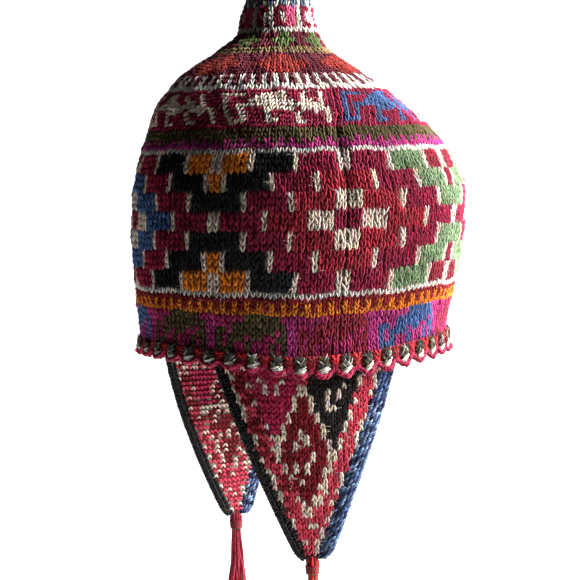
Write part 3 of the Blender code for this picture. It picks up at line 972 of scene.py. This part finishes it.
def flapYarn(along, drop, fromNape, fromFace):
    s, d = along * 100, drop * 100
    reach = flapKnit["stitch"] * 52           # just over half a stitch, in centimetres

    def onLine(line, share=1.0):
        return abs(lineAt(line, d) - s) < reach * share

    crossings = sorted(lineAt(line, d) for line in diamondSides(flapChart["diamond"]))
    left, right = crossings[:2] if crossings[1] < 99 else (0.0, 0.0)
    if fromFace == 0 and rng.uniform() < 0.8 or fromFace == 3 and d < 9.0 and rng.uniform() < 0.75:
        return "cream"
    if fromFace < 4 and fromFace < fromNape:
        return "cream" if fromFace == 2 and rng.uniform() < 0.25 else "coral"
    if fromNape in (0, 3) and rng.uniform() < 0.62:
        return "cream"
    if fromNape < 4:
        return "flapRed" if rng.uniform() < 0.8 - d * 0.08 else "coral"
    if any(onLine(line) for line in diamondSides(flapChart["diamond"])):
        return "cream"
    if left < s < right:
        small = any(onLine(line, 0.7) for line in diamondSides(flapChart["smallDiamond"]))
        return "cream" if small else "flapRed"
    if s < 0 and d < 5.6:
        return "cream" if any(onLine(line) for line in flapChart["roseTicks"]) else "rose"
    if s > 0 and d < 5.8:
        return "cream" if any(onLine(line) for line in flapChart["brownTicks"]) else "brown"
    return "coral" if rng.uniform() < 0.6 else "red" if s > 0 else "flapRed"


def flapLattice():
    # each stitch of the field: where it is, and its yarn
    spots, names = [], []
    rows = int((flap["length"] - 0.001) / flapKnit["row"])
    for row in range(rows):
        drop = (row + 0.5) * flapKnit["row"]
        half = fieldHalfWidth(drop)
        columns = [i for i in range(-20, 21) if abs(i * flapKnit["stitch"]) < half]
        for i in columns:
            spots.append((i * flapKnit["stitch"], row * flapKnit["row"]))
            names.append(flapYarn(i * flapKnit["stitch"], drop, i - columns[0], columns[-1] - i))
    return np.array(spots), names


def makeFlap(side, name):
    spots, names = flapLattice()
    colours = yarnColours(names)
    count = len(spots)

    def facing(along, drop, out):
        return flapSpot(side, along * -1.0, drop, out + flapKnit["face"])

    face = stitchStrands(-spots[:, 0], spots[:, 1], np.full(count, flapKnit["stitch"]),
                         np.full(count, flapKnit["row"]), colours, facing)
    # the wrong side: one bump of yarn across each stitch, and the other yarn carried behind
    across = np.array(purl["across"]) * flapKnit["stitch"]
    dip = np.array(purl["dip"]) * flapKnit["row"]
    out = np.array(purl["out"]) * 0.001 - flapKnit["purl"]
    wobble = rng.normal(0.0, purl["uneven"], (count, 3, 1))
    places, normals = flapSpot(side, spots[:, 0, None] + across + wobble[:, 0],
                               spots[:, 1, None] + flapKnit["row"] * 0.5 + dip + wobble[:, 1],
                               out + wobble[:, 2])
    thick = np.array(purl["thick"]) * stitch["yarn"]
    other = np.roll(np.arange(count), 2)
    behind = np.where(rng.uniform(size=(count, 1)) < purl["carried"], colours[other], colours)
    back = layStrands(places, thick, -normals[:, 2], behind)
    strandPiece("flap_stitches_" + name, [face, back], knitWool, "flap_knit", "ear_flap_" + name)

    mesh = bmesh.new()
    bmesh.ops.create_grid(mesh, x_segments=24, y_segments=36, size=0.5)
    lookup = spots + np.array([0.0, flapKnit["row"] / 2])

    def clothPlace(flat):
        drop = (0.5 - flat[:, 1]) * (flap["length"] - 0.0004) + 0.0002
        along = flat[:, 0] * 2 * fieldHalfWidth(drop)
        return flapSpot(side, along, drop, -flapKnit["behind"])[0]

    def colourBehind(middle):
        drop = (0.5 - middle.y) * flap["length"]
        along = middle.x * 2 * fieldHalfWidth(drop)
        nearest = np.argmin((lookup[:, 0] - along) ** 2 + (lookup[:, 1] - drop) ** 2)
        return clothColour(colours[nearest])

    sheet = clothPiece("flap_cloth_" + name, mesh, clothPlace, colourBehind, clothWool, "flap_knit",
                       flapKnit["cloth"], "ear_flap_" + name)


for side, name in bothSides:
    makeFlap(side, name)
print("ear flaps")

# The flaps' edgings, rows of slanting loops over a core

edging = {
    "pitch": 0.0018,
    "yarn": 0.00078,
    "wall": 0.0040,
    "bow": [-0.6, 0.6, 1.2, 0.6, -0.6],                   # how a loop arches, in half millimetres
    "thick": [0.3, 0.95, 1.0, 0.95, 0.3],
    "outerTurn": [-95, -75, -30, 30, 75, 95],             # degrees, from one face round to the other
    "outerThick": [0.3, 0.9, 1.0, 1.0, 0.9, 0.3],
    "shade": 0.22,
}


def edgingSpot(side, toward, widths, across, drop, out):
    # across runs from 0 at the field to 1 at the outer edge
    share = np.clip(drop / flap["length"], 0.0, 1.0)
    width = widths["top"] + (widths["tip"] - widths["top"]) * share
    width = width * np.interp(flap["length"] - drop, [0.0, 0.002, 0.006], [0.55, 0.82, 1.0])
    along = toward * (fieldHalfWidth(drop) + flap["gap"] + across * width)
    return flapSpot(side, along, drop, out)


def makeEdging(side, toward, widths, columns, outerYarns, name, node, material, slot):
    rows = int(flap["length"] / edging["pitch"])
    drops = (np.arange(rows) + 0.5) * edging["pitch"]
    batches = []
    for face in (1, -1):
        for column, (first, last, slope, yarns) in enumerate(columns):
            palette = yarnColours(yarns)
            colours = palette[rng.integers(0, len(palette), rows)]
            across = np.linspace(first, last, 5)
            slide = slope * np.linspace(-1.0, 1.0, 5) * edging["pitch"] * 0.95
            edge = 1.0 - 0.55 * np.abs(across - 0.5) ** 2 * 4
            out = face * (edging["wall"] / 2 * edge + np.array(edging["bow"]) * 0.0005 - 0.0003)
            jitter = rng.normal(0.0, 1.0, (rows, 3, 1))
            places, normals = edgingSpot(side, toward, widths, across + jitter[:, 0] * 0.02,
                                         np.clip(drops[:, None] + slide + jitter[:, 1] * 0.00025,
                                                 0.0003, flap["length"]),
                                         out + jitter[:, 2] * 0.00012)
            thick = np.array(edging["thick"]) * edging["yarn"]
            shade = 1.0 + rng.normal(0.0, edging["shade"], (rows, 1))
            batches.append(layStrands(places, thick * (1 + jitter[:, 0] * 0.08), face * normals[:, 2],
                                      np.clip(colours * shade, 0.0, 1.0)))
    # the outer edge itself, a close row of short loops round from one face to the other
    palette = yarnColours(outerYarns)
    for shift in (0.0, 0.5):
        colours = palette[rng.integers(0, len(palette), rows)]
        turn = np.radians(edging["outerTurn"])
        across = 0.90 + 0.10 * np.cos(turn)
        out = np.sin(turn) * edging["wall"] * 0.36
        slide = np.linspace(-0.7, 0.7, 6) * edging["pitch"] * (1 if shift else -1)
        jitter = rng.normal(0.0, 0.0002, (rows, 1))
        places, normals = edgingSpot(side, toward, widths, across + jitter * 60,
                                     np.clip(drops[:, None] + shift * edging["pitch"] + slide + jitter,
                                             0.0003, flap["length"] + 0.0010), out)
        thick = np.array(edging["outerThick"]) * edging["yarn"] * 0.9
        batches.append(layStrands(places, thick, normals[:, 3], colours))
    strandPiece(name + "_loops", batches, material, slot, node)

    mesh = bmesh.new()
    bmesh.ops.create_grid(mesh, x_segments=4, y_segments=40, size=0.5)
    # painted shade: the core is its yarn darkened to a third, as the shade between the loops
    ground = linear(columns[0][3][1]) * 0.35

    def corePlace(flat):
        drop = (0.5 - flat[:, 1]) * (flap["length"] - 0.001) + 0.0005
        return edgingSpot(side, toward, widths, 0.42 + flat[:, 0] * 1.02, drop, 0.0)[0]

    clothPiece(name + "_core", mesh, corePlace, lambda middle: ground, clothWool, slot,
               edging["wall"] * 0.55, node)


edgingWool = woolMaterial("edging wool", heather=0.7, sheenFlecks=0.25, ply=1.0)
blues = ["navy", "denim", "slate", "denim", "navy", "slate", "navy", "sky", "slate"]
blueColumns = [(-0.10, 0.24, -0.8, blues), (0.16, 0.50, -1.0, blues), (0.42, 0.76, -0.7, blues),
               (0.68, 0.97, -0.9, blues)]
blacks = ["black", "black", "brown"]
blackColumns = [(-0.22, 0.55, 1.0, blacks), (0.45, 0.98, -1.0, blacks)]
for side, name in bothSides:
    makeEdging(side, 1, frontEdging, blueColumns, ["sky", "denim", "sky", "lilac"], "blue_edging_" + name,
               "flap_front_edging_" + name, edgingWool, "blue_yarn")
    makeEdging(side, -1, backEdging, blackColumns, blacks, "black_edging_" + name,
               "flap_back_edging_" + name, edgingWool, "black_yarn")
print("flap edgings")

# Tassels

tassel = {
    "headWidth": 0.0098,
    "length": 0.0555,
    "above": 0.0035,          # how far it reaches up behind the flap's tip
    "strands": 34,
    "spread": 0.0085,
    "yarn": 0.00075,
    "wraps": 9,
    "bindingTop": 0.0066,
    "bindingTall": 0.0052,
    "bindingYarn": 0.00052,
}


def makeTassel(side, name):
    upward = np.array([0.0, 0.0, 1.0])
    top, outWay = flapSpot(side, 0.0, flap["length"], 0.0)
    top = top + upward * tassel["above"]
    aside = unit(np.cross(outWay, upward))
    facing = unit(np.cross(upward, aside))
    count = tassel["strands"]
    turn = np.arange(count) * 2.39996        # so that the strands spread evenly over the head
    reach = np.sqrt((np.arange(count) + 0.5) / count)
    points = 14
    share = np.linspace(0.0, 1.0, points)
    neck = tassel["headWidth"] / 2 * np.interp(share, [0.0, 0.04, 0.09, 0.15, 0.2, 1.0],
                                               [0.35, 0.85, 1.0, 0.85, 0.62, 0.62])
    fall = np.interp(share, [0.0, 0.2, 1.0], [0.0, 0.0, 1.0])
    phase = rng.uniform(0.0, 6.28, (count, 2, 1))
    sway = np.sin(share * 9.0 + phase) * 0.0011 * fall
    length = tassel["length"] * (1.0 + rng.normal(0.0, 0.05, (count, 1)))
    away = reach[:, None] * (neck * 0.82 + tassel["spread"] * 0.5 * fall ** 1.3)
    u = np.cos(turn)[:, None] * away + sway[:, 0]
    v = np.sin(turn)[:, None] * away + sway[:, 1]
    places = top + u[..., None] * aside + v[..., None] * facing - (share * length)[..., None] * upward
    names = [["red", "darkRed", "brightRed", "darkRed", "red"][i % 5] for i in range(count)]
    names[5], names[16], names[27] = "olive", "green", "olive"
    thick = np.full(points, 1.0)
    thick[[0, -1]] = 0.25
    shade = 1.0 + rng.normal(0.0, 0.12, (count, 1))
    strands = layStrands(places, thick * tassel["yarn"] * (1.0 + rng.normal(0.0, 0.1, (count, 1))),
                         np.broadcast_to(facing, (count, 3)),
                         np.clip(yarnColours(names) * shade, 0.0, 1.0), sides=6)
    # the binding round its head
    wraps, steps = tassel["wraps"], 26
    angles = np.linspace(0.0, 2 * math.pi * 1.04, steps)
    fallen = np.arange(wraps)[:, None] / wraps + np.linspace(0.0, 1.0 / wraps, steps)
    drop = tassel["bindingTop"] + fallen * tassel["bindingTall"]
    girth = tassel["headWidth"] / 2 * (0.80 - 0.10 * np.arange(wraps)[:, None] / wraps)
    rings = (top + (girth * np.cos(angles))[..., None] * aside
             + (girth * np.sin(angles))[..., None] * facing - drop[..., None] * upward)
    wrapColours = yarnColours(["darkRed", "red", "olive"] * wraps)[:wraps]
    binding = layStrands(rings, np.full(steps, tassel["bindingYarn"]), np.tile(upward, (wraps, 1)),
                         wrapColours, sides=5)
    strandPiece("tassel_strands_" + name, [strands, binding], edgingWool, "tassel_yarn", "tassel_" + name)


for side, name in bothSides:
    makeTassel(side, name)
print("tassels")

# Loose fibres that stand off the yarn

fuzz = {
    "crownHairs": 13000,
    "flapHairs": 1100,
    "edgingHairs": 500,
    "rimHairs": 1800,
    "length": 0.0040,
    "stands": 0.0015,
    "thick": 0.000062,
}


def layFuzz(places, outward, colours):
    # each fibre leaves its stitch, arches over and ends pointing away
    count = len(places)
    sidewise = unit(np.cross(outward, unit(rng.normal(size=(count, 3)))))
    bend = unit(np.cross(outward, sidewise))
    length = fuzz["length"] * rng.uniform(0.35, 1.3, (count, 1, 1))
    stand = fuzz["stands"] * rng.uniform(0.1, 1.0, (count, 1, 1)) ** 2
    share = np.array([0.0, 0.30, 0.70, 1.0])[None, :, None]
    curl = rng.normal(0.0, 0.35, (count, 1, 1))
    paths = (places[:, None] + sidewise[:, None] * length * share
             + bend[:, None] * length * curl * share ** 2
             + outward[:, None] * stand * np.sin(share * 2.6))
    # painted highlight: each fibre is paler than its yarn, as where it catches the light
    pale = np.clip(colours * 1.25 + 0.010, 0.0, 0.75)
    return layStrands(paths, fuzz["thick"], outward, pale, sides=3)


def makeFuzz():
    heights = np.array([row["foot"] for row in crownRows])
    stitches = np.array([row["stitches"] for row in crownRows])
    chosen = rng.choice(len(crownRows), fuzz["crownHairs"], p=stitches / sum(stitches))
    turns = rng.uniform(size=fuzz["crownHairs"])
    colours = np.array([yarnAt(crownRows[i], t) for i, t in zip(chosen, turns)])
    places, normals = crownSpot(turns, heights[chosen] + rng.uniform(0, 0.003, len(chosen)), 0.0006)
    strandPiece("crown_fuzz", [layFuzz(places, normals, colours)], fuzzWool, "crown_knit", "crown")
    numbers = rng.uniform(0.0, rim["puffs"], fuzz["rimHairs"])
    rise = rng.uniform(0.02, 1.0, fuzz["rimHairs"])
    places, normals = rimSpot(numbers, 0.0, rise, 0.0022)
    onPuff, high = np.abs(signedShare(numbers))[:, None] < 0.22, rise[:, None] > puff["split"]
    colours = np.where(onPuff, np.where(high, linear("grey"), linear("cream")),
                       np.where(high, linear("red"), linear("rose")))
    strandPiece("rim_fuzz", [layFuzz(places, normals, colours)], fuzzWool, "rim_yarn", "rim_edging")
    for side, name in bothSides:
        spots, names = flapLattice()
        pick = rng.integers(0, len(spots), fuzz["flapHairs"])
        places, normals = flapSpot(side, spots[pick, 0], spots[pick, 1] + 0.0016, 0.0014)
        batches = [layFuzz(places, normals, yarnColours(names)[pick])]
        for toward, widths, yarns in ((1, frontEdging, ["denim", "sky"]),
                                      (-1, backEdging, ["brown", "black"])):
            count = fuzz["edgingHairs"]
            drops = rng.uniform(0.002, flap["length"] - 0.002, count)
            places, normals = edgingSpot(side, toward, widths, rng.uniform(0.5, 1.02, count), drops, 0.0012)
            away, _ = edgingSpot(side, toward, widths, 1.4, drops, 0.0)
            lean = unit(normals + unit(away - places) * rng.uniform(0.3, 1.6, (count, 1)))
            batches.append(layFuzz(places, lean, yarnColours(yarns)[rng.integers(0, 2, count)]))
        strandPiece("flap_fuzz_" + name, batches, fuzzWool, "flap_knit", "ear_flap_" + name)


fuzzWool = woolMaterial("loose fibre", heather=0.2, sheenFlecks=0.0, ply=0.0, bump=0.0, sheen=0.0)
makeFuzz()
print("fuzz")

# Camera, floor and light

cameraView = {
    "azimuth": -110.0,        # degrees, behind the wearer's right ear
    "distance": 1.10,         # from the hat's middle line
    "eyeHeight": 0.1227,      # above the rim
    "pitch": -4.48,           # degrees, looking slightly down
    "roll": -1.2,             # degrees, the hat sits a little back on its head
    "aside": -0.0048,         # the hat stands this far right of the picture's middle
    "lens": 111.0,
}
studio = {
    "floor": -0.42,
    "near": -0.5,             # the floor's front edge, from the hat
    "back": 2.2,              # where it starts to curve up
    "curve": 0.9,
    "wide": 2.4,
    "paperGlow": 0.50,        # the paper is lit from behind as well
    "world": 0.025,
    "middle": 0.08,           # what the lights aim at, above the rim
    # steps from there to the right, towards the camera and up, then size and power
    "lights": {"key": ((1.45, -0.06, 0.85), 1.1, 190.0), "fill": ((-0.5, 1.4, 0.5), 1.2, 0.25)},
}


def placeCamera():
    turn = math.radians(cameraView["azimuth"])
    away = Vector((math.sin(turn), -math.cos(turn), 0.0))
    right = Vector((math.cos(turn), math.sin(turn), 0.0))
    data = bpy.data.cameras.new("camera")
    data.lens = cameraView["lens"]
    camera = bpy.data.objects.new("camera", data)
    bpy.context.scene.collection.objects.link(camera)
    camera.location = away * cameraView["distance"] + right * cameraView["aside"]
    camera.location.z = cameraView["eyeHeight"]
    pitch = math.radians(cameraView["pitch"])
    look = -away * math.cos(pitch) + Vector((0.0, 0.0, math.sin(pitch)))
    facing = look.to_track_quat("-Z", "Y").to_matrix()
    facing = facing @ Matrix.Rotation(math.radians(cameraView["roll"]), 3, "Z")
    camera.rotation_euler = facing.to_euler()
    bpy.context.scene.camera = camera
    return away, right


def areaLight(name, place, aim, size, power):
    data = bpy.data.lights.new(name, "AREA")
    data.shape = "SQUARE"
    data.size = size
    data.energy = power
    lamp = bpy.data.objects.new(name, data)
    bpy.context.scene.collection.objects.link(lamp)
    lamp.location = place
    lamp.rotation_euler = (aim - place).to_track_quat("-Z", "Y").to_euler()


def placeStudio(away, right):
    # a sheet of paper that runs back under the hat and curves up behind it
    mesh = bmesh.new()
    front = bmesh.ops.create_vert(mesh, co=(0.0, studio["near"], 0.0))["vert"][0]
    back = bmesh.ops.extrude_vert_indiv(mesh, verts=[front])["verts"][0]
    back.co.y = studio["back"]
    centre = (0.0, studio["back"], studio["curve"])
    last = bmesh.ops.spin(mesh, geom=[back], cent=centre, axis=(1.0, 0.0, 0.0),
                          angle=math.pi / 2, steps=16)["geom_last"][0]
    top = bmesh.ops.extrude_vert_indiv(mesh, verts=[last])["verts"][0]
    top.co.z += 3.0
    profile = list(mesh.edges)
    swept = bmesh.ops.extrude_edge_only(mesh, edges=profile)["geom"]
    for item in mesh.verts:
        item.co.x = -studio["wide"] / 2
    for item in swept:
        if isinstance(item, bmesh.types.BMVert):
            item.co.x = studio["wide"] / 2
    up = Vector((0.0, 0.0, 1.0))
    facing = Matrix([right, -away, up]).transposed().to_4x4()
    lowered = Matrix.Translation((0.0, 0.0, studio["floor"]))
    bmesh.ops.transform(mesh, matrix=lowered @ facing, verts=mesh.verts)
    bmesh.ops.recalc_face_normals(mesh, faces=mesh.faces)
    data = bpy.data.meshes.new("backdrop")
    mesh.to_mesh(data)
    mesh.free()
    data.shade_smooth()
    backdrop = bpy.data.objects.new("backdrop", data)
    bpy.context.scene.collection.objects.link(backdrop)
    paper = bpy.data.materials.new("pale paper")
    paper.use_nodes = True
    feed(paper.node_tree, paper.node_tree.nodes["Principled BSDF"], {
        "Base Color": (0.93, 0.93, 0.93, 1.0), "Roughness": 0.95,
        "Emission Color": (1.0, 1.0, 1.0, 1.0), "Emission Strength": studio["paperGlow"],
    })
    data.materials.append(paper)
    world = bpy.data.worlds.new("studio")
    world.use_nodes = True
    feed(world.node_tree, world.node_tree.nodes["Background"],
         {"Color": (1.0, 1.0, 1.0, 1.0), "Strength": studio["world"]})
    bpy.context.scene.world = world
    middle = up * studio["middle"]
    for name, (steps, size, power) in studio["lights"].items():
        place = middle + right * steps[0] + away * steps[1] + up * steps[2]
        areaLight(name, place, middle, size, power)
    bpy.context.scene.view_settings.view_transform = "Standard"


towardsCamera, pictureRight = placeCamera()
placeStudio(towardsCamera, pictureRight)
print("camera and studio")

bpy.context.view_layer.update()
drawn = bpy.context.evaluated_depsgraph_get()
triangles = {item.name: sum(len(face.vertices) - 2 for face in item.evaluated_get(drawn).data.polygons)
             for item in bpy.data.objects if item.type == "MESH"}
print("triangles", sum(triangles.values()), "most in one piece", max(triangles.values()))
